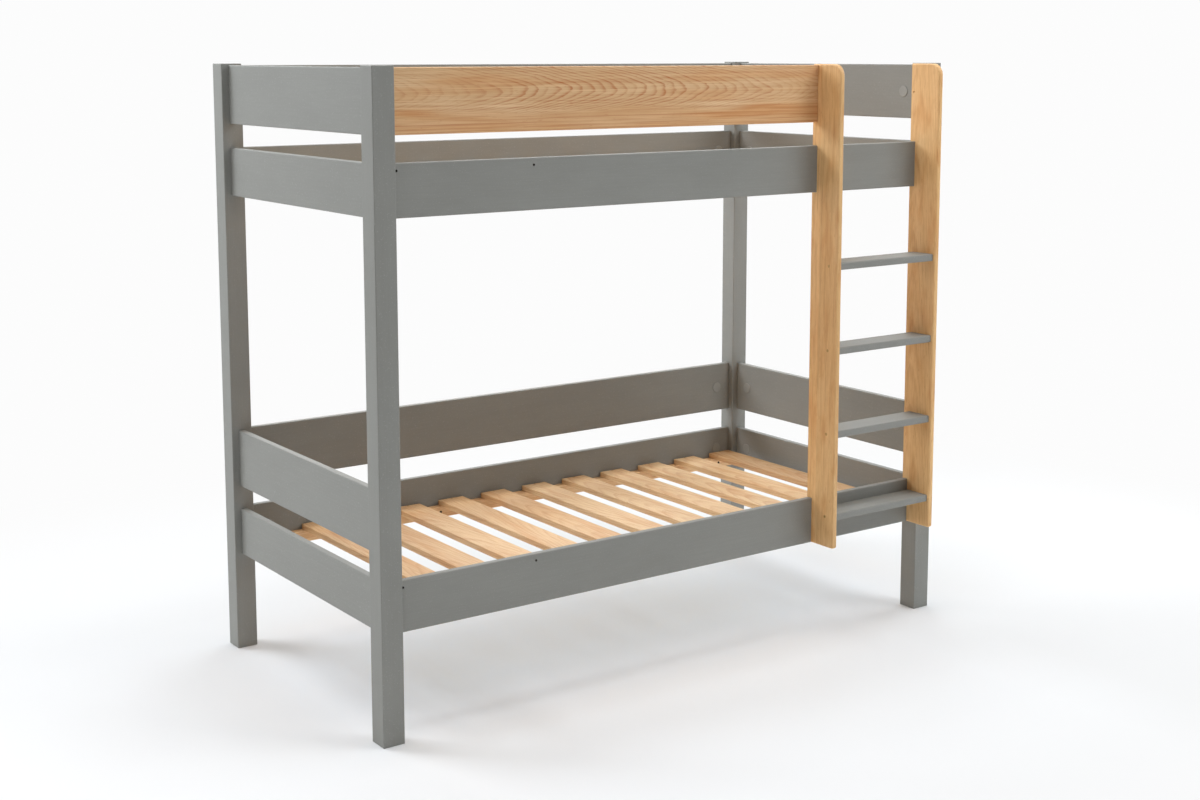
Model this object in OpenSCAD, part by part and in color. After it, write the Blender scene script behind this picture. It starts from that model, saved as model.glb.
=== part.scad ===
// Straight bunk bed for two single mattresses, with guard boards round both bunks and a vertical ladder
// at the right end of the front. Lengths are in millimetres.
// X runs along the bed, Y from its front to its back, Z up from the floor.

/* [Mattress space] */
// Length of the mattress that each bunk takes
mattress_l = 1900; // [1600:10:2100]
// Width of the mattress that each bunk takes
mattress_w = 900; // [700:10:1200]
// Play between the mattress and each end board
end_play = 8.5; // [2:0.5:30]
// Play between the mattress and each side board
side_play = 4.5; // [2:0.5:30]

/* [Posts] */
// Width of the square posts
post_w = 63; // [56:1:90]
// Rounding of the posts' edges
post_ease = 2.5; // [1:0.5:5]
// Height of the posts above the upper guards
post_proud = 5; // [2:1:60]

/* [Boards] */
// Thickness of the rails and guards
board_t = 20; // [18:1:28]
// Rounding of the boards' edges
board_ease = 3; // [1:0.5:5]
// Height of the rail boards
rail_h = 140; // [130:5:180]
// Height of the guard boards
guard_h = 170; // [130:5:220]
// Gap between each rail and the guard above it
guard_gap = 70; // [50:1:75]
// Height of the lower rails' underside above the floor
lower_rail_z = 293; // [150:1:400]
// Height from the lower rails to the upper rails
bunk_rise = 1084; // [900:1:1200]

/* [Ladder] */
// Thickness of the ladder's uprights
upright_t = 18; // [16:1:28]
// How far the uprights stand out in front of the posts
upright_reach = 75; // [65:1:110]
// Height of the posts above the uprights
upright_drop = 2; // [1:1:20]
// Radius of the uprights' upper front corner
upright_corner_r = 35; // [12:1:50]
// Radius of the uprights' lower front corner
upright_foot_r = 8; // [7:1:30]
// Rounding of the uprights' front and top edges
upright_ease = 5; // [2:0.5:6]
// Gap between the right upright and the post beside it
ladder_gap = 4; // [1:1:12]
// Clear width between the uprights
rung_l = 395; // [300:5:500]
// Thickness of the rungs
rung_t = 22; // [20:1:32]
// How far the rungs lie behind the uprights' front edges
rung_setback = 9; // [3:1:14]
// Rounding of the rungs' edges
rung_ease = 4; // [2:0.5:8]
// Height from one rung to the next
rung_pitch = 257; // [200:1:300]
// Height of the lower rail above the lowest rung
rung_drop = 34; // [10:1:60]
// Number of rungs
rung_count = 4; // [2:1:4]

/* [Slats] */
// Number of slats in each bunk
slat_count = 12; // [8:1:12]
// Width of a slat
slat_w = 92; // [60:1:110]
// Thickness of a slat
slat_t = 18; // [15:1:25]
// Gap between a slat's end and the rail beside it
slat_end_gap = 4.5; // [3:0.5:12]
// Gap between the outer slats and the posts
slat_post_gap = 2; // [1:0.5:20]
// Rounding of the slats' and battens' edges
slat_ease = 2; // [0.5:0.5:3]
// Width of the battens under the slats
batten_w = 25; // [22:1:28]
// Height of the battens
batten_h = 35; // [32:1:40]
// Height of the battens above the rails' underside
batten_lift = 3; // [0:1:6]
// Gap between a batten's end and the post
batten_end_gap = 2; // [1:0.5:20]

/* [Bed bolts] */
// Diameter of the bed bolts
bolt_d = 6; // [5:0.5:7]
// Play round a bolt in the board's bore
bolt_play = 0.5; // [0.2:0.1:1]
// Distance from a board's end to the centre of its bolt recess
recess_inset = 57; // [45:1:80]
// Diameter of the bolt recess
recess_d = 30; // [26:1:34]
// Width of the bolt's nut across its flats
nut_af = 10; // [10:0.5:11]
// Thickness of the nut
nut_t = 5; // [4:0.5:6]
// Thickness of the crescent washer along the bolt
washer_t = 6; // [5:0.5:8]
// Length of bolt past its nut
bolt_tail = 3; // [1:0.5:5]
// Gap kept between the tips of two bolts that meet in a post
bolt_tip_gap = 2.5; // [1:0.5:5]
// Diameter of a cover cap
cap_d = 35; // [35:1:38]
// Height of a cover cap above the board
cap_proud = 2; // [1.5:0.5:2.5]
// Wall of a cover cap's skirt
cap_wall = 1.5; // [1:0.1:3]

/* [Dowels and screws] */
// Diameter of the dowels
dowel_d = 8; // [6:1:10]
// Length of the dowels
dowel_l = 36; // [30:1:40]
// Distance from a board's upper and lower edges to its dowels
dowel_edge = 35; // [30:1:40]
// Wood left between a dowel and the far face of an upright
upright_skin = 6; // [4:1:8]
// Diameter of the ladder screws
ladder_screw_d = 5; // [4:0.5:6]
// Length of the ladder screws
ladder_screw_l = 60; // [45:1:70]
// Diameter of the ladder screws' heads
ladder_head_d = 9.5; // [8:0.5:11]
// Width of the key socket in a ladder screw
ladder_socket = 4; // [3:0.5:4.5]
// Distance from a rung's front edge to its screw, and from its back edge to its dowel
rung_fix_inset = 28; // [18:1:28]
// Distance from a rail's top edge down to its ladder holes
ladder_hole_drop = 19; // [12:1:22]
// Diameter of the spare ladder holes
spare_hole_d = 6; // [5:0.5:8]
// Diameter of the wood screws
wood_screw_d = 4; // [3:0.5:5]
// Length of the wood screws
wood_screw_l = 30; // [28:1:34]
// Diameter of the wood screws' heads
wood_head_d = 8; // [7:0.5:9]
// Width of the driver socket in a wood screw
wood_socket = 3; // [2:0.5:3.5]
// Number of screws in each batten
batten_screws = 4; // [2:1:6]
// Distance from a batten's end to its outer screws
batten_screw_inset = 63; // [30:1:100]
// Depth of the battens' screws below the batten's face
batten_screw_sink = 4; // [0:0.5:5]
// Play round dowels and screws in their holes
fit_play = 0.1; // [0.05:0.05:0.2]

/* [Hidden] */
SLATS = [for (bunk = ["lower", "upper"], i = [1 : slat_count]) str(bunk, "_slat_", i)];
RUNGS = [for (i = [1 : rung_count]) str("ladder_rung_", i)];

GREY_PAINT = [0.52, 0.53, 0.50];
NATURAL_WOOD = [0.80, 0.62, 0.42];
STEEL = [0.72, 0.73, 0.75];
GREY_PLASTIC = [0.60, 0.60, 0.58];
BEECH = [0.86, 0.72, 0.52];

// Boards lie in the middle of the posts' width: distance from a post's outer face to a board's faces
board_out = (post_w - board_t) / 2;
board_in = board_out + board_t;
board_mid = post_w / 2;

// Outer length and width of the bed over its posts
bed_l = mattress_l + 2 * end_play + 2 * board_in;
bed_w = mattress_w + 2 * side_play + 2 * board_in;
side_board_l = bed_l - 2 * post_w;
end_board_l = bed_w - 2 * post_w;

// Heights of the boards and posts
upper_rail_z = lower_rail_z + bunk_rise;
lower_guard_z = lower_rail_z + rail_h + guard_gap;
upper_guard_z = upper_rail_z + rail_h + guard_gap;
post_h = upper_guard_z + guard_h + post_proud;

// Underside and height of every rail and guard
RAILS = [[lower_rail_z, rail_h], [upper_rail_z, rail_h]];
GUARDS = [[lower_guard_z, guard_h], [upper_guard_z, guard_h]];
FRONT_GUARD = [[upper_guard_z, guard_h]];

// Ladder: the uprights' places, and their front, back, foot and top
right_upright_x = bed_l - post_w - ladder_gap - upright_t;
left_upright_x = right_upright_x - rung_l - upright_t;
upright_mid = upright_t / 2;
upright_top = post_h - upright_drop;
front_guard_l = left_upright_x - post_w;
notch_play = 0.5;

// Rungs lie against the plane of the rails' front faces
rung_front = rung_setback - upright_reach;
rung_depth = board_out - rung_front;
lowest_rung_z = lower_rail_z + rail_h - rung_drop - rung_t;
rung_screw_y = rung_front + rung_fix_inset;
rung_dowel_y = board_out - rung_fix_inset;

// Battens and slats
batten_l = side_board_l - 2 * batten_end_gap;
slat_l = bed_w - 2 * board_in - 2 * slat_end_gap;
first_slat_x = post_w + slat_post_gap;
slat_pitch = (bed_l - 2 * first_slat_x - slat_w) / (slat_count - 1);
batten_screw_span = batten_l - 2 * batten_screw_inset;
// A batten's own screws run at its mid-height, or below the tips of the slats' screws if these reach deeper
screw_gap = 1;
batten_screw_drop = max(batten_h / 2, wood_screw_l - slat_t + wood_screw_d / 2 + screw_gap);

// A recess reaches past the nut by nut_room, and a cap's skirt stops short of it by as much
nut_room = 1;
recess_depth = board_t / 2 + nut_af / 2 + nut_room;
cap_skirt = board_t / 2 - nut_af / 2 - nut_room;
recess_play = 0.3;
washer_h = nut_af + nut_room;
washer_face = recess_inset - recess_d / 2 + recess_play + washer_t;
bolt_grip = post_w / 2 - bolt_d / 2 - bolt_tip_gap;
bolt_end = washer_face + nut_t + bolt_tail;
cap_rim = 1;
dowel_chamfer = 1;
head_h = 3;
socket_h = 2;
past = 1;
fine = 64;
round_fn = 48;

// The origin lies on the floor, midway between the bed's ends and between the ladder's front and its back
module placed() {
    translate([-bed_l / 2, -(bed_w - upright_reach) / 2, 0]) children();
}

// ---------- General shapes ----------

// Rectangle with its corner at the origin and rounded corners
module eased_rect(w, h, r) {
    translate([r, 0]) square([w - 2 * r, h]);
    translate([0, r]) square([w, h - 2 * r]);
    for (x = [r, w - r], y = [r, h - r]) translate([x, y]) circle(r = r, $fn = round_fn);
}

// Block with its corner at the origin and all twelve edges rounded
module eased_block(size, r) {
    intersection() {
        linear_extrude(size[2]) eased_rect(size[0], size[1], r);
        translate([0, size[1], 0])
            rotate([90, 0, 0]) linear_extrude(size[1]) eased_rect(size[0], size[2], r);
        rotate([90, 0, 90]) linear_extrude(size[0]) eased_rect(size[1], size[2], r);
    }
}

// Round bar along +X from the origin
module bar_x(d, l) {
    rotate([0, 90, 0]) cylinder(d = d, h = l, $fn = round_fn);
}

// Dowel along +X from the origin
module dowel() {
    rotate([0, 90, 0]) rotate_extrude($fn = round_fn) polygon([
        [0, 0],
        [dowel_d / 2 - dowel_chamfer, 0],
        [dowel_d / 2, dowel_chamfer],
        [dowel_d / 2, dowel_l - dowel_chamfer],
        [dowel_d / 2 - dowel_chamfer, dowel_l],
        [0, dowel_l]
    ]);
}

// Hole round that dowel
module dowel_hole() {
    translate([-fit_play, 0, 0]) bar_x(dowel_d + 2 * fit_play, dowel_l + 2 * fit_play);
}

// Countersunk screw that points down, with the top of its head on z = 0
module screw(d, l, head_d, socket) {
    tip = d;
    difference() {
        rotate_extrude($fn = round_fn)
            polygon([[0, 0], [head_d / 2, 0], [d / 2, -head_h], [d / 2, tip - l], [0, -l]]);
        translate([0, 0, -socket_h]) cylinder(d = socket, h = socket_h + past, $fn = 6);
    }
}

// Hole for that screw through everything it passes, with its head sunk below the surface
module screw_hole(d, l, head_d, sink) {
    translate([0, 0, -l - fit_play]) cylinder(d = d + 2 * fit_play, h = l, $fn = round_fn);
    translate([0, 0, -head_h - fit_play])
        cylinder(d1 = d + 2 * fit_play, d2 = head_d + 2 * fit_play, h = head_h + fit_play, $fn = round_fn);
    cylinder(d = head_d + 2 * fit_play, h = sink + past, $fn = round_fn);
}

module ladder_screw() {
    screw(ladder_screw_d, ladder_screw_l, ladder_head_d, ladder_socket);
}

module ladder_screw_hole() {
    screw_hole(ladder_screw_d, ladder_screw_l, ladder_head_d, 0);
}

module wood_screw() {
    screw(wood_screw_d, wood_screw_l, wood_head_d, wood_socket);
}

module wood_screw_hole(sink) {
    screw_hole(wood_screw_d, wood_screw_l, wood_head_d, sink);
}

// ---------- Sides of the bed ----------
// Each draws a board in its place. The board runs along +X from the origin, with its outer face on y = 0.

module on_front(z) {
    translate([post_w, board_out, z]) children();
}

module on_back(z) {
    translate([post_w, bed_w - board_out, z]) mirror([0, 1, 0]) children();
}

module on_left(z) {
    translate([board_out, bed_w - post_w, z]) rotate([0, 0, -90]) children();
}

module on_right(z) {
    translate([bed_l - board_out, post_w, z]) rotate([0, 0, 90]) children();
}

// ---------- Joints between boards and posts ----------
// Each is drawn with its bolt along +X, the board's end on x = 0, and the board's middle on y = z = 0.

// Puts a joint at a board's start
module at_start(height) {
    $joint_h = height;
    translate([0, board_t / 2, height / 2]) children();
}

// Puts a joint at both ends of a board
module at_both_ends(length, height) {
    at_start(height) children();
    translate([length, 0, 0]) mirror([1, 0, 0]) at_start(height) children();
}

// Puts a joint wherever a board meets a post
module at_every_joint() {
    for (b = RAILS) {
        on_front(b[0]) at_both_ends(side_board_l, b[1]) children();
        on_back(b[0]) at_both_ends(side_board_l, b[1]) children();
        on_left(b[0]) at_both_ends(end_board_l, b[1]) children();
        on_right(b[0]) at_both_ends(end_board_l, b[1]) children();
    }
    for (b = GUARDS) {
        on_back(b[0]) at_both_ends(side_board_l, b[1]) children();
        on_left(b[0]) at_both_ends(end_board_l, b[1]) children();
        on_right(b[0]) at_both_ends(end_board_l, b[1]) children();
    }
    for (b = FRONT_GUARD) on_front(b[0]) at_start(b[1]) children();
}

// Puts children at the far ends of a joint's two dowels, half of whose length is in the post
module at_joint_dowels() {
    for (side = [-1, 1]) translate([-dowel_l / 2, 0, side * ($joint_h / 2 - dowel_edge)]) children();
}

// Bores of a joint in the board's end
module board_bores() {
    translate([-past, 0, 0]) bar_x(bolt_d + 2 * bolt_play, recess_inset + past);
    translate([recess_inset, board_t / 2 - recess_depth, 0])
        rotate([-90, 0, 0]) cylinder(d = recess_d, h = recess_depth + past, $fn = fine);
    at_joint_dowels() dowel_hole();
}

// Bores of a joint in the post
module post_bores() {
    translate([-bolt_grip - fit_play, 0, 0]) bar_x(bolt_d + 2 * fit_play, bolt_grip + past);
    at_joint_dowels() dowel_hole();
}

module joint_bolt() {
    translate([-bolt_grip, 0, 0]) bar_x(bolt_d, bolt_grip + bolt_end);
}

// Crescent that seats the nut's pull on the recess's round wall
module joint_washer() {
    difference() {
        intersection() {
            translate([recess_inset, -washer_h / 2, 0])
                rotate([-90, 0, 0]) cylinder(d = recess_d - 2 * recess_play, h = washer_h, $fn = fine);
            translate([washer_face - recess_d, -washer_h, -recess_d])
                cube([recess_d, 2 * washer_h, 2 * recess_d]);
        }
        bar_x(bolt_d + 2 * fit_play, recess_inset);
    }
}

module joint_nut() {
    translate([washer_face, 0, 0]) rotate([0, 90, 0]) difference() {
        cylinder(d = nut_af / cos(30), h = nut_t, $fn = 6);
        translate([0, 0, -past]) cylinder(d = bolt_d + 2 * fit_play, h = nut_t + 2 * past, $fn = round_fn);
    }
}

// Cap with a rounded rim over the recess, and a skirt that grips inside it
module joint_cap() {
    skirt_r = recess_d / 2 - fit_play;
    translate([recess_inset, board_t / 2, 0]) rotate([-90, 0, 0]) rotate_extrude($fn = fine) {
        square([cap_d / 2 - cap_rim, cap_proud]);
        square([cap_d / 2, cap_proud - cap_rim]);
        translate([cap_d / 2 - cap_rim, cap_proud - cap_rim]) circle(r = cap_rim, $fn = round_fn);
        translate([skirt_r - cap_wall, -cap_skirt]) square([cap_wall, cap_skirt + cap_proud / 2]);
    }
}

// ---------- Posts ----------

// Post at the bed's front left corner. Each list holds the boards on one of its two inner faces.
module post(side_boards, end_boards) {
    color(GREY_PAINT) difference() {
        eased_block([post_w, post_w, post_h], post_ease);
        for (b = side_boards) translate([post_w, board_out, b[0]]) at_start(b[1]) post_bores();
        for (b = end_boards) translate([board_in, post_w, b[0]])
            rotate([0, 0, 90]) at_start(b[1]) post_bores();
    }
}

module front_left_post() {
    placed() post(concat(RAILS, FRONT_GUARD), concat(RAILS, GUARDS));
}

module front_right_post() {
    placed() translate([bed_l, 0, 0]) mirror([1, 0, 0]) post(RAILS, concat(RAILS, GUARDS));
}

module back_left_post() {
    placed() translate([0, bed_w, 0]) mirror([0, 1, 0]) post(concat(RAILS, GUARDS), concat(RAILS, GUARDS));
}

module back_right_post() {
    placed() translate([bed_l, bed_w, 0])
        rotate([0, 0, 180]) post(concat(RAILS, GUARDS), concat(RAILS, GUARDS));
}

// ---------- Rails and guards ----------

// Board with a joint at both ends
module plain_board(length, height) {
    difference() {
        eased_block([length, board_t, height], board_ease);
        at_both_ends(length, height) board_bores();
    }
}

// Ladder holes through a front rail: the ladder's own two, and a spare pair for a ladder at the other end
module rail_ladder_holes() {
    for (x = [left_upright_x, right_upright_x]) {
        translate([x + upright_mid - post_w, board_t, rail_h - ladder_hole_drop])
            rotate([-90, 0, 0]) ladder_screw_hole();
        translate([bed_l - x - upright_mid - post_w, -past, rail_h - ladder_hole_drop])
            rotate([-90, 0, 0]) cylinder(d = spare_hole_d, h = board_t + 2 * past, $fn = round_fn);
    }
}

// Puts children at a batten's screws, in its inner face, with the screw's head towards the bed's middle
module at_batten_screws() {
    for (i = [0 : batten_screws - 1])
        translate([
            batten_end_gap + batten_screw_inset + i * batten_screw_span / (batten_screws - 1),
            board_t + batten_w - batten_screw_sink,
            batten_lift + batten_h - batten_screw_drop
        ]) rotate([-90, 0, 0]) children();
}

module front_rail(z) {
    color(GREY_PAINT) placed() on_front(z) difference() {
        plain_board(side_board_l, rail_h);
        rail_ladder_holes();
        at_batten_screws() wood_screw_hole(batten_screw_sink);
    }
}

module back_rail(z) {
    color(GREY_PAINT) placed() on_back(z) difference() {
        plain_board(side_board_l, rail_h);
        at_batten_screws() wood_screw_hole(batten_screw_sink);
    }
}

module back_guard(z) {
    color(GREY_PAINT) placed() on_back(z) plain_board(side_board_l, guard_h);
}

module left_board(z, height) {
    color(GREY_PAINT) placed() on_left(z) plain_board(end_board_l, height);
}

module right_board(z, height) {
    color(GREY_PAINT) placed() on_right(z) plain_board(end_board_l, height);
}

// Puts children at the guard's dowels in the left upright, with the upright's blind end on x = 0
module at_guard_dowels() {
    translate([left_upright_x + upright_t - upright_skin, board_mid, upper_guard_z])
        for (z = [dowel_edge, guard_h - dowel_edge]) translate([0, 0, z]) mirror([1, 0, 0]) children();
}

// Puts children at the guard's screw, which runs through the left upright into the guard's end
module at_guard_screw() {
    translate([left_upright_x + upright_t, board_mid, upper_guard_z + guard_h / 2])
        rotate([0, 90, 0]) children();
}

// Wooden guard from the left post to the ladder
module front_upper_guard() {
    color(NATURAL_WOOD) placed() difference() {
        on_front(upper_guard_z) difference() {
            eased_block([front_guard_l, board_t, guard_h], board_ease);
            at_start(guard_h) board_bores();
        }
        at_guard_dowels() dowel_hole();
        at_guard_screw() ladder_screw_hole();
    }
}

// ---------- Ladder ----------

// Outline that is square at y = 0 and rounded at its two corners on y = depth
module edge_profile(width, depth, r) {
    square([width, depth - r]);
    translate([r, 0]) square([width - 2 * r, depth]);
    intersection() {
        for (x = [r, width - r]) translate([x, depth - r]) circle(r = r, $fn = round_fn);
        square([width, depth]);
    }
}

// Upright's board, with its left face on x = 0 and rounded all along its front, top and foot
module upright_blank() {
    front = -upright_reach;
    body_z = lower_rail_z + upright_foot_r;
    body_h = upright_top - upright_corner_r - body_z;
    top_y = front + upright_corner_r;
    foot_y = front + upright_foot_r;
    // middle, with its rounded edge to the front
    translate([0, board_in, body_z])
        mirror([0, 1, 0]) linear_extrude(body_h) edge_profile(upright_t, board_in - front, upright_ease);
    // top
    translate([0, board_in, upright_top - upright_corner_r])
        rotate([90, 0, 0]) linear_extrude(board_in - top_y)
            edge_profile(upright_t, upright_corner_r, upright_ease);
    // upper front corner
    translate([0, top_y, upright_top - upright_corner_r])
        rotate([0, 90, 0]) rotate([0, 0, 180]) rotate_extrude(angle = 90, $fn = fine)
            rotate([0, 0, 90]) mirror([0, 1, 0]) edge_profile(upright_t, upright_corner_r, upright_ease);
    // foot
    translate([0, board_in, body_z]) mirror([0, 0, 1])
        rotate([90, 0, 0]) linear_extrude(board_in - foot_y)
            edge_profile(upright_t, upright_foot_r, upright_ease);
    // lower front corner
    translate([0, foot_y, body_z]) mirror([0, 0, 1])
        rotate([0, 90, 0]) rotate([0, 0, 180]) rotate_extrude(angle = 90, $fn = fine)
            rotate([0, 0, 90]) mirror([0, 1, 0]) edge_profile(upright_t, upright_foot_r, upright_ease);
}

// Puts children at a rung's screw on an upright's outer face, for the left upright
module at_rung_screws() {
    for (i = [0 : rung_count - 1])
        translate([0, rung_screw_y, rung_z(i) + rung_t / 2]) rotate([0, -90, 0]) children();
}

// Puts children at the blind ends of the rungs' dowels in the left upright
module at_rung_dowels() {
    for (i = [0 : rung_count - 1]) translate([upright_skin, rung_dowel_y, rung_z(i) + rung_t / 2]) children();
}

// Puts children at an upright's screws to the two rails, on the rails' inner faces
module at_rail_screws() {
    for (b = RAILS)
        translate([upright_mid, board_in, b[0] + b[1] - ladder_hole_drop]) rotate([-90, 0, 0]) children();
}

function rung_z(i) = lowest_rung_z + i * rung_pitch;

// Left upright, with its outer face on x = 0: notched round both rails and bored for its rungs
module upright() {
    difference() {
        upright_blank();
        for (b = RAILS) translate([-past, board_out, b[0] - notch_play])
            cube([upright_t + 2 * past, board_t + past, b[1] + 2 * notch_play]);
        at_rung_screws() ladder_screw_hole();
        at_rung_dowels() dowel_hole();
        at_rail_screws() ladder_screw_hole();
    }
}

module ladder_left_upright() {
    color(NATURAL_WOOD) placed() difference() {
        translate([left_upright_x, 0, 0]) upright();
        at_guard_dowels() dowel_hole();
        at_guard_screw() ladder_screw_hole();
    }
}

// Right upright, with a spare hole for a guard on its side
module ladder_right_upright() {
    color(NATURAL_WOOD) placed() difference() {
        translate([right_upright_x + upright_t, 0, 0]) mirror([1, 0, 0]) upright();
        translate([right_upright_x - past, board_mid, upper_guard_z + guard_h / 2])
            bar_x(spare_hole_d, upright_t + 2 * past);
    }
}

module ladder_rung(i) {
    inner_x = left_upright_x + upright_t;
    color(GREY_PAINT) placed() difference() {
        translate([inner_x, rung_front, rung_z(i)])
            rotate([90, 0, 90]) linear_extrude(rung_l) eased_rect(rung_depth, rung_t, rung_ease);
        at_both_uprights() {
            at_rung_screws() ladder_screw_hole();
            at_rung_dowels() dowel_hole();
        }
    }
}

// Puts children at the left upright, and mirrored at the right one
module at_both_uprights() {
    translate([left_upright_x, 0, 0]) children();
    translate([right_upright_x + upright_t, 0, 0]) mirror([1, 0, 0]) children();
}

// ---------- Battens and slats ----------

function slat_x(i) = first_slat_x + i * slat_pitch;

// Puts children at the two screws of a slat, on its upper face
module at_slat_screws(i, rail_z) {
    y_front = board_in + batten_w / 2;
    for (y = [y_front, bed_w - y_front])
        translate([slat_x(i) + slat_w / 2, y, rail_z + batten_lift + batten_h + slat_t]) children();
}

// Batten along the inside of a rail that it is screwed to
module batten() {
    translate([batten_end_gap, board_t, batten_lift]) eased_block([batten_l, batten_w, batten_h], slat_ease);
}

module front_batten(rail_z) {
    color(NATURAL_WOOD) placed() difference() {
        on_front(rail_z) difference() {
            batten();
            at_batten_screws() wood_screw_hole(batten_screw_sink);
        }
        for (i = [0 : slat_count - 1]) at_slat_screws(i, rail_z) wood_screw_hole(0);
    }
}

module back_batten(rail_z) {
    color(NATURAL_WOOD) placed() difference() {
        on_back(rail_z) difference() {
            batten();
            at_batten_screws() wood_screw_hole(batten_screw_sink);
        }
        for (i = [0 : slat_count - 1]) at_slat_screws(i, rail_z) wood_screw_hole(0);
    }
}

module slat(i, rail_z) {
    color(NATURAL_WOOD) placed() difference() {
        translate([slat_x(i), board_in + slat_end_gap, rail_z + batten_lift + batten_h])
            eased_block([slat_w, slat_l, slat_t], slat_ease);
        at_slat_screws(i, rail_z) wood_screw_hole(0);
    }
}

// ---------- Fasteners ----------

module bed_bolts() {
    color(STEEL) placed() at_every_joint() joint_bolt();
}

module crescent_washers() {
    color(STEEL) placed() at_every_joint() joint_washer();
}

module bolt_nuts() {
    color(STEEL) placed() at_every_joint() joint_nut();
}

module cover_caps() {
    color(GREY_PLASTIC) placed() at_every_joint() joint_cap();
}

module dowels() {
    color(BEECH) placed() {
        at_every_joint() at_joint_dowels() dowel();
        at_both_uprights() at_rung_dowels() dowel();
        at_guard_dowels() dowel();
    }
}

module ladder_screws() {
    color(STEEL) placed() {
        at_both_uprights() {
            at_rung_screws() ladder_screw();
            at_rail_screws() ladder_screw();
        }
        at_guard_screw() ladder_screw();
    }
}

module wood_screws() {
    color(STEEL) placed() for (z = [lower_rail_z, upper_rail_z]) {
        on_front(z) at_batten_screws() wood_screw();
        on_back(z) at_batten_screws() wood_screw();
        for (i = [0 : slat_count - 1]) at_slat_screws(i, z) wood_screw();
    }
}

// ---------- The bed ----------

front_left_post();
front_right_post();
back_left_post();
back_right_post();
front_rail(upper_rail_z);  // front_upper_rail
front_rail(lower_rail_z);  // front_lower_rail
front_upper_guard();
back_guard(upper_guard_z);  // back_upper_guard
back_rail(upper_rail_z);  // back_upper_rail
back_guard(lower_guard_z);  // back_lower_guard
back_rail(lower_rail_z);  // back_lower_rail
left_board(upper_guard_z, guard_h);  // left_upper_guard
left_board(upper_rail_z, rail_h);  // left_upper_rail
left_board(lower_guard_z, guard_h);  // left_lower_guard
left_board(lower_rail_z, rail_h);  // left_lower_rail
right_board(upper_guard_z, guard_h);  // right_upper_guard
right_board(upper_rail_z, rail_h);  // right_upper_rail
right_board(lower_guard_z, guard_h);  // right_lower_guard
right_board(lower_rail_z, rail_h);  // right_lower_rail
ladder_left_upright();
ladder_right_upright();
for (i = [1 : rung_count]) ladder_rung(i - 1);
front_batten(upper_rail_z);  // front_upper_batten
back_batten(upper_rail_z);  // back_upper_batten
front_batten(lower_rail_z);  // front_lower_batten
back_batten(lower_rail_z);  // back_lower_batten
for (i = [1 : slat_count]) slat(i - 1, lower_rail_z);
for (i = [1 : slat_count]) slat(i - 1, upper_rail_z);
bed_bolts();
crescent_washers();
bolt_nuts();
cover_caps();
dowels();
ladder_screws();
wood_screws();
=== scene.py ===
"""Straight bunk bed in grey-painted and natural wood: its materials, studio and camera."""

import math

import bpy
from mathutils import Euler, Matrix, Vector

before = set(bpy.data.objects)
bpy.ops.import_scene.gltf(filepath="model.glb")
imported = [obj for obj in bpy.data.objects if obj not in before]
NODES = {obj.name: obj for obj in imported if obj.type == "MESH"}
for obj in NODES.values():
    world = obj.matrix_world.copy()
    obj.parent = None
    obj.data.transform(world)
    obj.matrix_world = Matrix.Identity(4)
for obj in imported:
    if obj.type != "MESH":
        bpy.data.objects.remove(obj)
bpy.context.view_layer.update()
X, Y, Z = 0, 1, 2

# Places on the bed, in metres. Those along the bed count from its middle to both sides.
SLAT_COUNT = 12
SLAT_PITCH = 0.161636
SLAT_EDGE = (0.3460, 0.3485)  # heights between which a lower slat's side turns into its top
BUNK_RISE = 1.084
BETWEEN_BUNKS = 1.0  # above the lower bunk's slats, and below the upper ones
BATTEN_SCREWS = (0.2907, 0.8720)
BATTEN_HEIGHTS = (0.3135, 1.3975)
BATTEN_HEAD_R = 0.0045
SINK_R = 0.0046
LADDER_HOLES = (0.511, 0.924)  # in the front rails, for the ladder at either end
LADDER_HOLE_HEIGHTS = (0.414, 1.498)
LADDER_HOLE_R = 0.0034
GUARD_FIGURE = -0.2  # middle of the arches along the front guard


# ---------- Node building ----------

def linear(r, g, b):
    """An 8-bit sRGB colour as linear light."""
    return [((v / 255 + 0.055) / 1.055) ** 2.4 if v > 10 else v / 255 / 12.92 for v in (r, g, b)]


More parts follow.
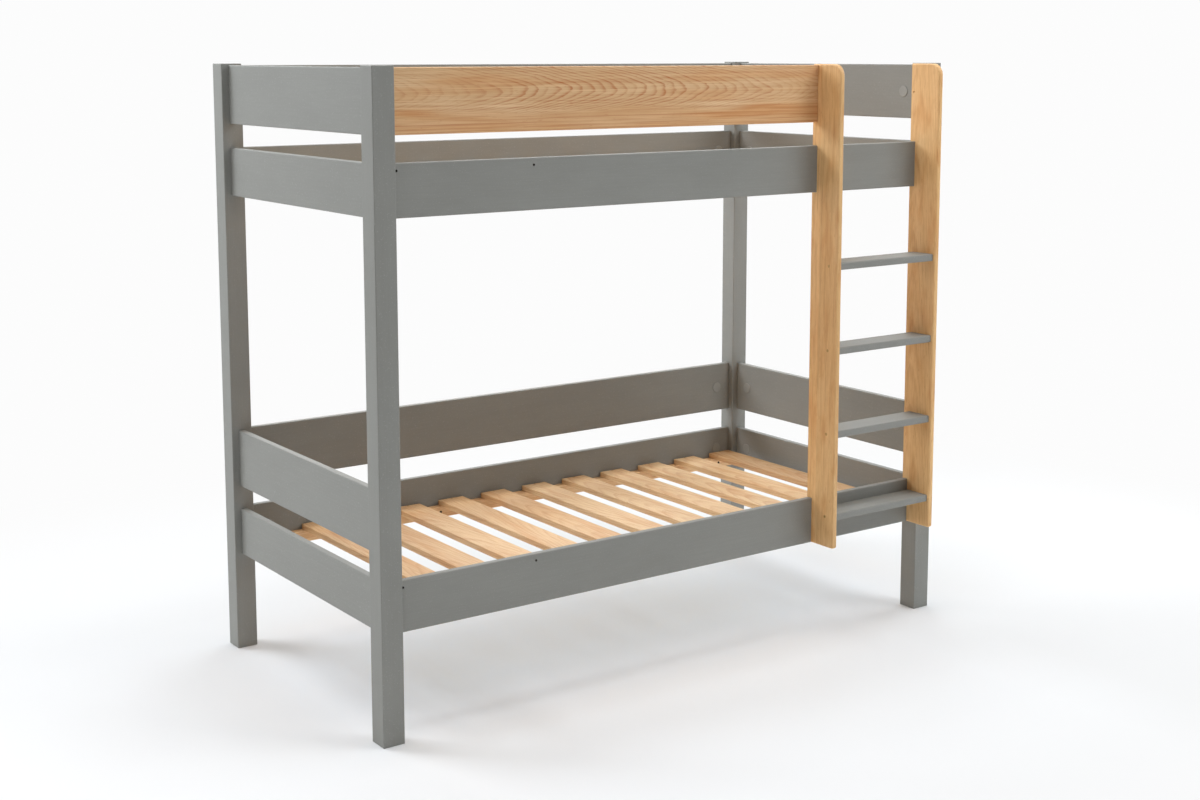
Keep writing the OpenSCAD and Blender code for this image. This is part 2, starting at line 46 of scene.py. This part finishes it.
class Graph:
    """The node tree of a material or world, with short calls that add a node and return its output."""

    def __init__(self, owner):
        owner.use_nodes = True
        self.owner = owner
        self.tree = owner.node_tree
        self.tree.nodes.clear()

    def put(self, value, socket):
        """Links an output to socket, or sets it to a value. One number fills a whole vector."""
        if isinstance(value, bpy.types.NodeSocket):
            self.tree.links.new(value, socket)
            return
        if hasattr(socket.default_value, "__len__"):
            size = len(socket.default_value)
            value = (list(value) + [1.0])[:size] if hasattr(value, "__len__") else [value] * size
        socket.default_value = value

    def node(self, kind, *values, **settings):
        """A new node with these settings, whose first inputs are the values."""
        n = self.tree.nodes.new("ShaderNode" + kind)
        for key, value in settings.items():
            setattr(n, key, value)
        for value, socket in zip(values, n.inputs):
            self.put(value, socket)
        return n

    def fill(self, n, inputs):
        for key, value in inputs.items():
            self.put(value, n.inputs[key])
        return n

    def math(self, op, *values):
        return self.node("Math", *values, operation=op).outputs[0]

    def add(self, a, b):
        return self.math("ADD", a, b)

    def mul(self, a, b):
        return self.math("MULTIPLY", a, b)

    def madd(self, a, b, c):
        return self.math("MULTIPLY_ADD", a, b, c)

    def size(self, value):
        return self.math("ABSOLUTE", value)

    def length(self, a, b):
        return self.math("SQRT", self.madd(a, a, self.mul(b, b)))

    def clip(self, value):
        return self.node("Clamp", value).outputs[0]

    def position(self):
        """Places in the CAD's frame, in metres. The pieces' own origins all lie on the frame's."""
        where = self.node("TexCoord").outputs["Object"]
        return list(self.node("SeparateXYZ", where).outputs)

    def vector(self, x, y, z):
        return self.node("CombineXYZ", x, y, z).outputs[0]

    def noise(self, vector, detail=2.0, rough=0.5):
        n = self.node("TexNoise")
        self.fill(n, {"Vector": vector, "Scale": 1.0, "Detail": detail, "Roughness": rough})
        return n.outputs["Fac"]

    def even_noise(self, place, scale, detail=2.0, rough=0.5):
        """Noise of the same scale on all axes."""
        return self.noise(self.vector(*[self.mul(v, scale) for v in place]), detail, rough)

    def chance(self, w):
        """A random number from 0 to 1 for each value of w."""
        n = self.node("TexWhiteNoise", noise_dimensions="1D")
        return self.fill(n, {"W": w}).outputs["Value"]

    def remap(self, value, a, b, to_a=0.0, to_b=1.0, smooth=False):
        """Turns a into to_a and b into to_b, and stays at those beyond them."""
        kind = "SMOOTHSTEP" if smooth else "LINEAR"
        return self.node("MapRange", value, a, b, to_a, to_b, interpolation_type=kind).outputs[0]

    def ramp(self, value, *stops):
        n = self.node("ValToRGB", value)
        elements = n.color_ramp.elements
        while len(elements) < len(stops):
            elements.new(0.5)
        for item, (at, level) in zip(elements, stops):
            item.position = at
            item.color = [level] * 3 + [1.0]
        return n.outputs[0]

    def mix(self, fac, a, b, blend="MIX"):
        n = self.node("Mix", fac, data_type="RGBA", blend_type=blend)
        colours = [s for s in n.inputs if s.type == "RGBA"]
        self.put(a, colours[0])
        self.put(b, colours[1])
        return [s for s in n.outputs if s.type == "RGBA"][0]

    def near(self, a, places, b, heights, reach):
        """1 within reach of the points at two places, on both sides of the middle, and two heights."""
        sides = [self.size(self.add(self.size(a), -place)) for place in places]
        levels = [self.size(self.add(b, -height)) for height in heights]
        gap = self.length(self.math("MINIMUM", *sides), self.math("MINIMUM", *levels))
        return self.math("LESS_THAN", gap, reach)

    def bump(self, height, distance):
        n = self.node("Bump")
        return self.fill(n, {"Strength": 1.0, "Distance": distance, "Height": height}).outputs[0]

    def blend(self, fac, a, b):
        """Shader a where fac is 0, and b where it is 1."""
        return self.node("MixShader", fac, a, b).outputs[0]

    def looks(self):
        """1 for what the camera sees, also in mirrors and through glass, and 0 for light on its way."""
        path = self.node("LightPath").outputs
        beyond = self.math("MAXIMUM", path["Is Glossy Ray"], path["Is Transmission Ray"])
        return self.math("MAXIMUM", path["Is Camera Ray"], beyond)

    def surface(self, **values):
        n = self.node("BsdfPrincipled")
        self.fill(n, {key.replace("_", " "): value for key, value in values.items()})
        self.node("OutputMaterial", n.outputs[0])
        return self.owner


def graph(name):
    """An empty new material."""
    return Graph(bpy.data.materials.new(name))


# ---------- Materials ----------

# Light, middle, reddish and dark tones of each wood
OAK = [linear(226, 191, 147), linear(212, 171, 123), linear(209, 153, 99), linear(184, 106, 52)]
HONEY = [linear(236, 194, 138), linear(224, 177, 118), linear(216, 159, 100), linear(184, 118, 62)]
PALE = [linear(236, 204, 160), linear(226, 188, 141), linear(218, 167, 115), linear(194, 132, 82)]
SLAT_SIDE_SHADE = (0.93, 0.89, 0.84)  # painted shade: multiplies a slat's tones on its sides, making them darker than its top
# painted shade in the sinks of the batten screws
SINK_SHADE = linear(60, 42, 28)

PAINT_LOW, PAINT_HIGH = linear(138, 138, 133), linear(145, 145, 140)
PAINT_GRAIN, PAINT_SPECK = linear(132, 132, 127), linear(160, 160, 156)
# painted shade on the walls of the ladder holes
HOLE_SHADE = linear(52, 42, 34)
CAP_LOW, CAP_HIGH = linear(147, 147, 142), linear(152, 152, 147)

WHITE_ZINC = linear(198, 200, 204), linear(172, 174, 178)
YELLOW_ZINC = linear(206, 168, 112), linear(176, 138, 86)
# painted shade: near black batten screw heads, for the shade in their deep sinks
HEAD_SHADE = linear(14, 13, 12)

RING_LINE = ((0.0, 0.0), (0.35, 0.05), (0.62, 0.35), (0.82, 1.0), (0.95, 0.8), (1.0, 0.0))


def wood(name, along, across, through, tones, pith, taper, ring, figure=1.0, seed=0.0, wave=1.0,
         short=1.0, streaks=1.0, flame=None, joint=None, slats=False, shade_sinks=False):
    """Clear-lacquered wood: growth rings cut by the board's face, fibres, flecks, slow changes of tone.

    along, across and through are the axes of the board's length, width and thickness. pith is the place
    of the tree's centre across and through, taper is how fast a ring's radius changes along the board,
    and ring is the rings' spacing, in metres. figure is how strong the rings are, and wave is how much
    they waver. short is how many times shorter than on a long board the streaks are, and streaks is how
    strong they are. flame is the place across below which straight grain takes over from the arches,
    which also get weaker towards the board's ends. joint is the place across where two glued strips
    meet. slats gives each slat grain and tone of its own, and paints shade on the slats' sides, which
    are made darker than their tops. shade_sinks paints shade into the sinks of the screws that hold
    the battens, darkening the wood round the screw heads.
    """
    g = graph(name)
    place = g.position()
    a, b, c = place[along], place[across], place[through]
    level = None
    if slats:  # each slat is cut from another place in the tree
        cell = g.math("FLOOR", g.madd(b, 1 / SLAT_PITCH, SLAT_COUNT / 2))
        upper = g.math("GREATER_THAN", c, BETWEEN_BUNKS)
        tag = g.madd(upper, 40.5, cell)
        from_first = g.add(b, (SLAT_COUNT - 1) / 2 * SLAT_PITCH)
        b = g.add(g.madd(cell, -SLAT_PITCH, from_first), g.madd(g.chance(tag), 0.12, -0.06))
        a = g.madd(g.chance(g.add(tag, 0.3)), 9.0, a)
        c = g.madd(upper, -BUNK_RISE, c)
        level = g.madd(g.chance(g.add(tag, 1.29)), 0.12, 0.93)
        own = g.chance(g.add(tag, 16.15))
    if joint is not None:
        strip = g.math("GREATER_THAN", b, joint)
        a = g.madd(strip, 3.7, a)
        level = g.madd(strip, 0.10, 0.96)

    def grain(along_scale, across_scale, detail=2.0, rough=0.5, shift=0.0):
        """Noise drawn out along the board. The scales are the number of spots in a metre."""
        return g.noise(g.vector(g.madd(a, along_scale, seed + shift), g.mul(b, across_scale),
                                g.mul(c, across_scale)), detail, rough)

    def rings(count):
        """A dark line at the end of each ring, stronger in some rings than in others."""
        strength = g.madd(g.chance(g.math("FLOOR", count)), 0.60, 0.40)
        return g.mul(g.ramp(g.math("FRACT", count), *RING_LINE), strength)

    radius = g.length(g.add(b, -pith[0]), g.add(c, -pith[1]))
    radius = g.madd(a, taper, radius)
    radius = g.madd(grain(3.0, 12.0), 0.016 * wave, radius)
    radius = g.madd(grain(11.0, 60.0, 2.0, 0.6, 3.0), 0.0032 * wave, radius)
    line = rings(g.mul(radius, 1 / ring))
    straight = g.madd(b, 105.0, g.mul(c, 40.0))
    straight = rings(g.madd(grain(1.3, 20.0, 2.0, 0.5, 17.0), 2.2, straight))
    if flame is not None:
        border = g.madd(grain(3.0, 10.0, shift=21.0), 0.04, b)
        arched = g.remap(border, flame + 0.008, flame + 0.034, smooth=True)
        clear = g.remap(g.size(g.add(a, -GUARD_FIGURE)), 0.25, 0.7, 1.08, 0.55, smooth=True)
        line = g.add(g.mul(g.mul(line, clear), arched), g.mul(straight, g.madd(arched, -0.4, 0.62)))
    else:
        line = g.madd(straight, 0.3, g.mul(line, 0.8))

    coarse = grain(3.2 * short, 170.0, 3.0, 0.65, 5.0)
    medium = grain(7.0 * short, 330.0, 2.0, 0.6, 27.0)
    fine = grain(12.0 * short, 700.0, 2.0, 0.6, 1.0)
    fleck = g.remap(grain(42.0, 430.0, 1.0, 0.5, 9.0), 0.66, 0.75, smooth=True)
    tone = grain(1.6, 9.0, 3.0, 0.55, 7.0)
    red = g.remap(grain(2.6 * short, 26.0, 2.0, 0.5, 13.0), 0.48, 0.72, 0.0, 0.7, smooth=True)
    if slats:
        tone = g.madd(own, 0.26, g.add(tone, -0.13))
        red = g.clip(g.madd(own, 0.5, g.add(red, -0.2)))
    if flame is not None:
        red = g.clip(g.madd(arched, -0.45, g.add(red, 0.45)))

    light, middle, reddish, dark = tones
    colour = g.mix(g.remap(tone, 0.32, 0.68), light, middle)
    colour = g.mix(red, colour, reddish)
    streak = g.madd(g.add(coarse, -0.5), 1.1 * streaks, g.mul(g.add(fine, -0.5), 0.5 * streaks))
    streak = g.madd(g.add(medium, -0.5), 1.3 * streaks, streak)
    depth = g.madd(line, 0.80 * figure, streak)
    depth = g.math("MAXIMUM", depth, g.mul(fleck, 0.55))
    colour = g.mix(g.clip(depth), colour, dark)
    colour = g.mix(g.clip(g.mul(streak, -0.9)), colour, [min(1.0, v * 1.25) for v in light])
    if level is not None:
        colour = g.mix(1.0, colour, g.vector(level, level, level), "MULTIPLY")
    if slats:  # painted shade: the sides are made a little darker than the top
        colour = g.mix(g.remap(c, *SLAT_EDGE, 1.0, 0.0), colour, SLAT_SIDE_SHADE, "MULTIPLY")
    if shade_sinks:
        # painted shade: the wood round each batten screw's sink is made dark
        colour = g.mix(g.near(a, BATTEN_SCREWS, b, BATTEN_HEIGHTS, SINK_R), colour, SINK_SHADE)
    height = g.madd(fine, 0.5, g.madd(fleck, -0.6, g.madd(line, 0.2, g.mul(coarse, 0.3))))
    return g.surface(
        Base_Color=colour,
        Roughness=g.madd(fine, 0.14, g.madd(coarse, 0.10, 0.36)),
        Normal=g.bump(height, 0.00012),
        Specular_IOR_Level=0.35,
    )


def paint(name, along, across, through, seed=0.0, shade_holes=False):
    """Satin grey paint over wood: clouded tone, fine roller texture, and the grain showing faintly.

    shade_holes paints shade on the walls of the front rails' ladder holes, making them near black.
    """
    g = graph(name)
    place = g.position()
    a, b, c = place[along], place[across], place[through]
    cloud = g.noise(g.vector(g.madd(a, 3.0, seed), g.mul(b, 9.0), g.mul(c, 9.0)), 4.0, 0.6)
    grain = g.noise(g.vector(g.madd(a, 7.0, seed), g.mul(b, 240.0), g.mul(c, 240.0)), 2.0, 0.6)
    roller = g.even_noise((a, b, c), 600.0, 2.0, 0.6)
    speck = g.noise(g.vector(g.mul(a, 300.0), g.mul(b, 300.0), g.madd(c, 300.0, 5.0)), 0.0)
    colour = g.mix(g.remap(cloud, 0.30, 0.70), PAINT_LOW, PAINT_HIGH)
    colour = g.mix(g.remap(grain, 0.35, 0.75, 0.0, 0.28), colour, PAINT_GRAIN)
    colour = g.mix(g.remap(speck, 0.70, 0.80, 0.0, 0.5, smooth=True), colour, PAINT_SPECK)
    if shade_holes:
        # painted shade: the walls of the ladder holes are made near black
        hole_shade = g.near(a, LADDER_HOLES, b, LADDER_HOLE_HEIGHTS, LADDER_HOLE_R)
        colour = g.mix(hole_shade, colour, HOLE_SHADE)
    height = g.madd(roller, 0.35, g.mul(grain, 0.65))
    return g.surface(
        Base_Color=colour,
        Roughness=g.madd(roller, 0.12, g.remap(cloud, 0.3, 0.7, 0.46, 0.54)),
        Normal=g.bump(height, 0.00010),
        Specular_IOR_Level=0.3,
    )


def plastic(name):
    """Moulded cap plastic, a little lighter than the paint, with a fine spark-eroded skin."""
    g = graph(name)
    place = g.position()
    skin = g.even_noise(place, 1600.0, 2.0, 0.6)
    cloud = g.even_noise(place, 40.0)
    return g.surface(
        Base_Color=g.mix(g.remap(cloud, 0.3, 0.7), CAP_LOW, CAP_HIGH),
        Roughness=g.madd(skin, 0.15, 0.42),
        Normal=g.bump(skin, 0.00004),
        Specular_IOR_Level=0.45,
    )


def metal(name, light, dark, shade_heights=None):
    """Plated steel, with a mottled plating and a fine grain.

    shade_heights is the two heights at which the screws, which hold the battens, are made near black
    instead: painted shade, for the deep sinks that they sit in.
    """
    g = graph(name)
    place = g.position()
    mottle = g.even_noise(place, 260.0, 3.0, 0.6)
    fine = g.even_noise(place, 2200.0, 2.0, 0.6)
    colour = g.mix(g.remap(mottle, 0.3, 0.7), dark, light)
    if shade_heights is not None:
        # painted shade: the batten screws are made near black
        away = [g.size(g.add(place[Z], -height)) for height in shade_heights]
        shaded_head = g.math("LESS_THAN", g.math("MINIMUM", *away), BATTEN_HEAD_R)
        colour = g.mix(shaded_head, colour, HEAD_SHADE)
    return g.surface(
        Base_Color=colour,
        Metallic=0.9,
        Roughness=g.madd(fine, 0.15, g.madd(mottle, 0.20, 0.30)),
        Normal=g.bump(fine, 0.00003),
    )


def dress(material, *names):
    for name in names:
        mesh = NODES[name].data
        for i in range(len(mesh.materials)):
            mesh.materials[i] = material


BORED = ["front_upper_rail", "front_lower_rail"]
RUNGS = [n for n in NODES if n.startswith("ladder_rung_")]
BACK_BOARDS = ["back_upper_guard", "back_upper_rail", "back_lower_guard", "back_lower_rail"]
END_BOARDS = [n for n in NODES if n.startswith(("left_", "right_"))]
POSTS = [n for n in NODES if n.endswith("_post")]
SLATS = [n for n in NODES if "_slat_" in n]
BATTENS = [n for n in NODES if n.endswith("_batten")]

dress(paint("paint_on_rails", X, Z, Y, shade_holes=True), *BORED)
dress(paint("paint_along_x", X, Z, Y), *BACK_BOARDS, *RUNGS)
dress(paint("paint_along_y", Y, Z, X, 3.0), *END_BOARDS)
dress(paint("paint_along_z", Z, X, Y, 6.0), *POSTS)
dress(wood("guard_wood", X, Z, Y, OAK, pith=(1.695, -0.377), taper=0.105, ring=0.0040, figure=0.9,
           seed=2.0, short=0.8, streaks=0.8, flame=1.642), "front_upper_guard")
dress(wood("left_upright_wood", Z, Y, X, HONEY, pith=(-0.60, 0.70), taper=0.01, ring=0.010,
           figure=0.45, seed=11.0, wave=0.5, short=3.0, streaks=0.55, joint=-0.4535),
      "ladder_left_upright")
dress(wood("right_upright_wood", Z, Y, X, HONEY, pith=(-0.44, 0.98), taper=0.06, ring=0.008,
           figure=0.45, seed=23.0, wave=0.6, short=3.0, streaks=0.55), "ladder_right_upright")
dress(wood("slat_wood", Y, X, Z, PALE, pith=(0.0, 0.26), taper=0.09, ring=0.008, figure=0.7, seed=4.0,
           wave=0.8, short=1.5, streaks=0.65, slats=True), *SLATS)
dress(wood("batten_wood", X, Z, Y, PALE, pith=(-0.5, 0.3), taper=0.01, ring=0.006, figure=0.5,
           seed=31.0, shade_sinks=True), *BATTENS)
dress(wood("dowel_wood", X, Z, Y, PALE, pith=(0.3, 0.3), taper=0.0, ring=0.004, figure=0.3), "dowels")
dress(plastic("cap_plastic"), "cover_caps")
dress(metal("white_zinc", *WHITE_ZINC), "bed_bolts", "crescent_washers", "bolt_nuts")
dress(metal("yellow_zinc", *YELLOW_ZINC), "ladder_screws")
dress(metal("wood_screw_zinc", *YELLOW_ZINC, BATTEN_HEIGHTS), "wood_screws")


# ---------- Studio ----------

scene = bpy.context.scene
scene.view_settings.view_transform = "Standard"

WHITE = [0.975, 0.975, 0.975]
WORLD_LIGHT, WORLD_TINT = 0.16, [0.97, 1.0, 1.03]
LAMPS = [  # name, place, target, size, watts, colour
    ("overhead", (0.0, 0.4, 9.0), (0.0, 0.0, 0.5), (8.0, 6.0), 590, (1.0, 1.0, 1.0)),
    ("left", (-4.8, 0.4, 1.3), (0.0, 0.0, 0.5), (3.4, 2.0), 13, (1.05, 1.0, 0.95)),
    ("right", (4.8, 0.2, 2.2), (0.4, 0.0, 0.4), (3.0, 1.8), 76, (0.93, 1.0, 1.07)),
    ("front_right", (2.7, -3.3, 4.5), (0.6, 0.0, 0.5), (2.6, 2.6), 110, (0.98, 1.0, 1.02)),
    ("back_left", (-3.2, 3.4, 4.0), (0.0, 0.0, 0.7), (2.5, 2.5), 186, (0.95, 1.0, 1.06)),
    ("back_right", (3.2, 3.4, 4.0), (0.4, 0.0, 0.5), (2.5, 2.5), 61, (0.93, 1.02, 1.05)),
    ("back", (0.6, 4.4, 2.2), (0.2, 0.0, 0.4), (3.6, 2.0), 32, (0.98, 1.0, 1.02)),
    ("back_low", (0.8, 3.8, 0.7), (0.3, 0.0, 0.3), (3.2, 1.2), 14, (0.94, 1.0, 1.06)),
]

# The floor has one tone for the light that it throws back, and another, made here, for the camera, with
# painted light and shade round the bed
FLOOR_HALF = 60.0
FLOOR_BOUNCE = [0.93, 0.93, 0.93]
BAND = (-1.6, 1.4)  # stretch of y, from in front of the bed to behind it, over which the painted light and shade on the floor change
# painted light and shade: the floor's tone, lightest just in front of the bed and darker behind it
BAND_PAINTED_TONES = ((0.0, 0.66), (0.15, 0.69), (0.333, 0.77), (0.533, 0.74), (0.8, 0.63), (1.0, 0.62))
PAINTED_TONE_ALONG = -0.02  # painted light and shade: change of the floor's tone for each metre of x
BEFORE_X, BEFORE_Y = (0.7, 1.0), (-0.5, -0.2)  # soft edges of a painted pool of light on the floor in front of the bed
BEFORE_PAINTED_LIGHT = (0.060, 0.068, 0.076)  # how much lighter the painted light makes it
BELOW_X, BELOW_Y = (0.55, 1.2), (0.12, 0.56)  # soft edges of the floor below the bed
BELOW_TONE = [0.735, 0.874, 1.0]  # takes back the wood's warm light there
BELOW_PAINTED_LIGHT = 0.13  # painted light: white glow mixed in there besides, lightening the bed's shadow
CORE_X, CORE_Y = 0.9, 0.3  # half of the area from which distances are measured
FADE_FROM, FADE_TO, FADE_LEAST = 0.2, 2.2, 0.15  # distances, and the white mixed in up to the first; near the bed that white is painted light that lightens the shadow


def floor():
    """A pale floor that keeps the bed's shadow, with painted light and shade round the bed, and turns
    to the backdrop's white further out.
    """
    s = FLOOR_HALF
    mesh = bpy.data.meshes.new("floor")
    mesh.from_pydata([(-s, -s, 0), (s, -s, 0), (s, s, 0), (-s, s, 0)], [], [(0, 1, 2, 3)])
    obj = bpy.data.objects.new("floor", mesh)
    scene.collection.objects.link(obj)

    g = graph("floor")
    x, y, _ = g.position()
    out_x = g.math("MAXIMUM", g.add(g.size(x), -CORE_X), 0.0)
    out_y = g.math("MAXIMUM", g.add(g.size(y), -CORE_Y), 0.0)
    fade = g.remap(g.length(out_x, out_y), FADE_FROM, FADE_TO, FADE_LEAST, 1.0, smooth=True)
    # painted light and shade: the floor's tone for the camera, by place
    tone = g.ramp(g.remap(y, *BAND), *BAND_PAINTED_TONES)
    tone = g.madd(x, PAINTED_TONE_ALONG, tone)
    # painted light: a lighter patch of floor in front of the bed
    before = g.mul(g.remap(g.size(x), *BEFORE_X, 1.0, 0.0), g.remap(y, *BEFORE_Y, 1.0, 0.0))
    tone = g.vector(*[g.madd(before, lift, tone) for lift in BEFORE_PAINTED_LIGHT])
    below = g.mul(g.remap(g.size(x), *BELOW_X, 1.0, 0.0, smooth=True),
                  g.remap(g.size(y), *BELOW_Y, 1.0, 0.0, smooth=True))

    bounce = g.node("BsdfDiffuse", FLOOR_BOUNCE).outputs[0]
    shaded = g.node("BsdfDiffuse", g.mix(below, tone, BELOW_TONE)).outputs[0]
    glow = g.node("Emission", WHITE).outputs[0]
    # painted light: white glow lightens the floor's shadow below the bed and round it
    seen = g.blend(g.madd(below, BELOW_PAINTED_LIGHT, fade), shaded, glow)
    g.node("OutputMaterial", g.blend(g.looks(), bounce, seen))
    mesh.materials.append(g.owner)


def lamp(name, place, target, size, power, colour):
    data = bpy.data.lights.new(name, "AREA")
    data.shape = "RECTANGLE"
    data.size, data.size_y = size
    data.energy = power
    data.color = colour
    obj = bpy.data.objects.new(name, data)
    scene.collection.objects.link(obj)
    obj.location = place
    obj.rotation_mode = "QUATERNION"
    obj.rotation_quaternion = (Vector(target) - Vector(place)).to_track_quat("-Z", "Y")
    obj.visible_camera = False


def surroundings():
    """A soft light from all sides, and the white that the camera sees instead of it."""
    scene.world = bpy.data.worlds.new("studio")
    g = Graph(scene.world)
    soft = g.node("Background", WORLD_TINT, WORLD_LIGHT).outputs[0]
    white = g.node("Background", WHITE).outputs[0]
    g.node("OutputWorld", g.blend(g.looks(), soft, white))


floor()
surroundings()
for settings in LAMPS:
    lamp(*settings)


# ---------- Camera ----------

SENSOR = 36.0
PHOTO_WIDTH, FOCAL_LENGTH = 1200, 1703  # in the photo's pixels
TILT_DOWN, TURN_RIGHT = 7.566, 35.551  # degrees

camera = bpy.data.cameras.new("camera")
camera.sensor_width = SENSOR
camera.lens = FOCAL_LENGTH / PHOTO_WIDTH * SENSOR
camera.shift_x = -0.0064
camera.shift_y = -0.10  # the photo's framing asks for -0.23, which would cut the bed off in other views
camera.clip_end = 200.0
eye = bpy.data.objects.new("camera", camera)
scene.collection.objects.link(eye)
eye.location = (-2.982, -4.2315, 1.790)
eye.rotation_euler = Euler((math.radians(90 - TILT_DOWN), 0.0, math.radians(-TURN_RIGHT)))
scene.camera = eye
